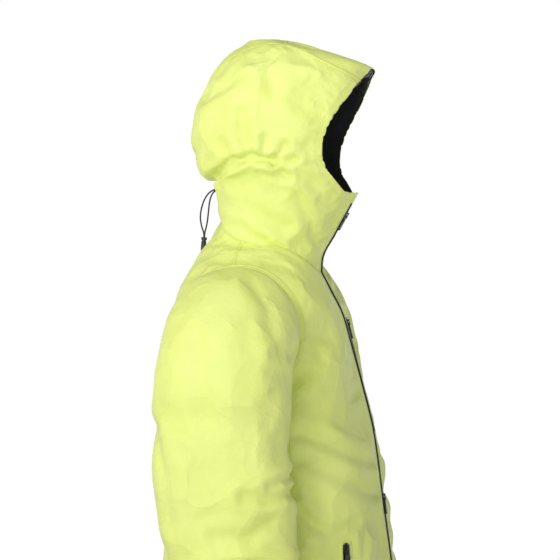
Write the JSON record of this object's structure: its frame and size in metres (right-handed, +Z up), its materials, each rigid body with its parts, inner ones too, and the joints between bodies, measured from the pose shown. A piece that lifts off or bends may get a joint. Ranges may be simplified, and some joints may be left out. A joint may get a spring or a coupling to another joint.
{
  "type": "hardshell jacket",
  "caption": "Waterproof hooded shell jacket, zipped and hood up, with a stiffened brim, hanging sleeves, zipped pockets and a cinch cord at the nape.",
  "frame": {"origin": "middle of the neck opening, level with the back of the neck seam, where the wearer's neck passes", "axes": "+Z up along the standing wearer, -Y towards the front, -X towards the wearer's right"},
  "size_m": [0.6504, 0.3957, 1.064],
  "materials": {
    "shell_fabric": "woven, water-repellent, faintly satin",
    "zip_tape": "woven tape with moulded coil",
    "moulded_black": "fine moulded texture",
    "cord": "braided",
    "black_lining": "bonded backer"
  },
  "bodies": {
    "torso": {"chest_pocket_welt": "shell_fabric", "chest_pocket_zip_tape": "zip_tape", "chest_pocket_bag": "black_lining", "hand_pocket_right_welt": "shell_fabric", "hand_pocket_right_zip_tape": "zip_tape", "hand_pocket_right_bag": "black_lining", "hand_pocket_left_welt": "shell_fabric", "hand_pocket_left_zip_tape": "zip_tape", "hand_pocket_left_bag": "black_lining", "front_panel_right": "shell_fabric", "collar_right": "shell_fabric", "main_zip_tape_right": "zip_tape", "front_panel_left": "shell_fabric", "collar_left": "shell_fabric", "main_zip_tape_left": "zip_tape", "back_panel": "shell_fabric", "zip_garage": "shell_fabric", "storm_flap": "black_lining", "hem_facing": "black_lining", "hem_drawcord": "cord", "hem_cord_lock_right": "moulded_black", "hem_cord_lock_left": "moulded_black", "cinch_tunnel": "shell_fabric", "collar_back": "shell_fabric", "cinch_eyelet": "moulded_black", "cinch_cord_right": "cord", "loop_strand_right": "cord", "cinch_cord_left": "cord", "loop_strand_left": "cord", "cord_end": "moulded_black", "hanger_loop": "zip_tape"},
    "hood": {"hood_brim": "shell_fabric", "hood_centre_panel": "shell_fabric", "hood_side_right": "shell_fabric", "hood_side_left": "shell_fabric", "brim_stiffener": "black_lining"},
    "upper_slider": {"main_zip_upper_slider": "moulded_black"},
    "upper_pull": {"main_zip_upper_puller": "moulded_black"},
    "lower_slider": {"main_zip_lower_slider": "moulded_black"},
    "lower_pull": {"main_zip_lower_puller": "moulded_black"},
    "chest_slider": {"chest_pocket_zip_slider": "moulded_black"},
    "chest_pull": {"chest_pocket_zip_puller": "moulded_black"},
    "sleeve_right": {"sleeve_upper_right": "shell_fabric"},
    "forearm_right": {"sleeve_lower_right": "shell_fabric", "cuff_right": "shell_fabric"},
    "tab_right": {"cuff_tab_right": "shell_fabric"},
    "hand_slider_right": {"hand_pocket_right_zip_slider": "moulded_black"},
    "hand_pull_right": {"hand_pocket_right_zip_puller": "moulded_black"},
    "hem_button_right": {"hem_lock_button_right": "moulded_black"},
    "sleeve_left": {"sleeve_upper_left": "shell_fabric"},
    "forearm_left": {"sleeve_lower_left": "shell_fabric", "cuff_left": "shell_fabric"},
    "tab_left": {"cuff_tab_left": "shell_fabric"},
    "hand_slider_left": {"hand_pocket_left_zip_slider": "moulded_black"},
    "hand_pull_left": {"hand_pocket_left_zip_puller": "moulded_black"},
    "hem_button_left": {"hem_lock_button_left": "moulded_black"}
  },
  "joints": [
    {"name": "hood_tilt", "type": "hinge", "parent": "torso", "child": "hood", "pos_m": [0, 0.01, 0.085], "axis": [1, 0, 0], "range_deg": [-5, 12]},
    {"name": "shoulder_right", "type": "hinge", "parent": "torso", "child": "sleeve_right", "pos_m": [-0.187, 0.018, -0.165], "axis": [-1, 0, 0], "range_deg": [-20, 45]},
    {"name": "elbow_right", "type": "hinge", "parent": "sleeve_right", "child": "forearm_right", "pos_m": [-0.262, 0.02, -0.4], "axis": [-1, 0, 0], "range_deg": [0, 45]},
    {"name": "cuff_tab_right", "type": "hinge", "parent": "forearm_right", "child": "tab_right", "pos_m": [-0.3085, -0.084, -0.671], "axis": [0, 0, 1], "range_deg": [0, 60]},
    {"name": "shoulder_left", "type": "hinge", "parent": "torso", "child": "sleeve_left", "pos_m": [0.187, 0.018, -0.165], "axis": [-1, 0, 0], "range_deg": [-20, 45]},
    {"name": "elbow_left", "type": "hinge", "parent": "sleeve_left", "child": "forearm_left", "pos_m": [0.262, 0.02, -0.4], "axis": [-1, 0, 0], "range_deg": [0, 45]},
    {"name": "cuff_tab_left", "type": "hinge", "parent": "forearm_left", "child": "tab_left", "pos_m": [0.3085, -0.084, -0.671], "axis": [0, 0, -1], "range_deg": [0, 60]},
    {"name": "main_zip_upper_slide", "type": "slide", "parent": "torso", "child": "upper_slider", "axis": [0, -0.4853, 0.8744], "range_m": [-0.028, 0.005]},
    {"name": "main_zip_upper_pull", "type": "hinge", "parent": "upper_slider", "child": "upper_pull", "pos_m": [0, -0.12401, 0.01431], "axis": [-1, 0, 0], "range_deg": [0, 110]},
    {"name": "main_zip_lower_slide", "type": "slide", "parent": "torso", "child": "lower_slider", "axis": [0, 0.1369, 0.9906], "range_m": [-0.3, 0.09]},
    {"name": "main_zip_lower_pull", "type": "hinge", "parent": "lower_slider", "child": "lower_pull", "pos_m": [0, -0.18406, -0.43189], "axis": [-1, 0, 0], "range_deg": [0, 110]},
    {"name": "chest_zip_slide", "type": "slide", "parent": "torso", "child": "chest_slider", "axis": [-0.0213, 0.2458, 0.9691], "range_m": [-0.172, 0]},
    {"name": "chest_zip_pull", "type": "hinge", "parent": "chest_slider", "child": "chest_pull", "pos_m": [0.04218, -0.12095, -0.15654], "axis": [-0.9978, -0.0667, -0.005], "range_deg": [0, 110]},
    {"name": "hand_zip_right_slide", "type": "slide", "parent": "torso", "child": "hand_slider_right", "axis": [0.085, 0.0436, 0.9954], "range_m": [-0.148, 0]},
    {"name": "hand_zip_right_pull", "type": "hinge", "parent": "hand_slider_right", "child": "hand_pull_right", "pos_m": [-0.1478, -0.14517, -0.49463], "axis": [-0.6848, 0.7283, 0.0266], "range_deg": [0, 110]},
    {"name": "hand_zip_left_slide", "type": "slide", "parent": "torso", "child": "hand_slider_left", "axis": [-0.085, 0.0436, 0.9954], "range_m": [-0.148, 0]},
    {"name": "hand_zip_left_pull", "type": "hinge", "parent": "hand_slider_left", "child": "hand_pull_left", "pos_m": [0.1478, -0.14517, -0.49463], "axis": [-0.6848, -0.7283, -0.0266], "range_deg": [0, 110]},
    {"name": "hem_lock_right", "type": "slide", "parent": "torso", "child": "hem_button_right", "axis": [0.0038, -0.1349, -0.9909], "range_m": [0, 0.0035], "stiffness_N_per_m": 300, "springref_m": -0.002},
    {"name": "hem_lock_left", "type": "slide", "parent": "torso", "child": "hem_button_left", "axis": [-0.0038, -0.1349, -0.9909], "range_m": [0, 0.0035], "stiffness_N_per_m": 300, "springref_m": -0.002}
  ]
}
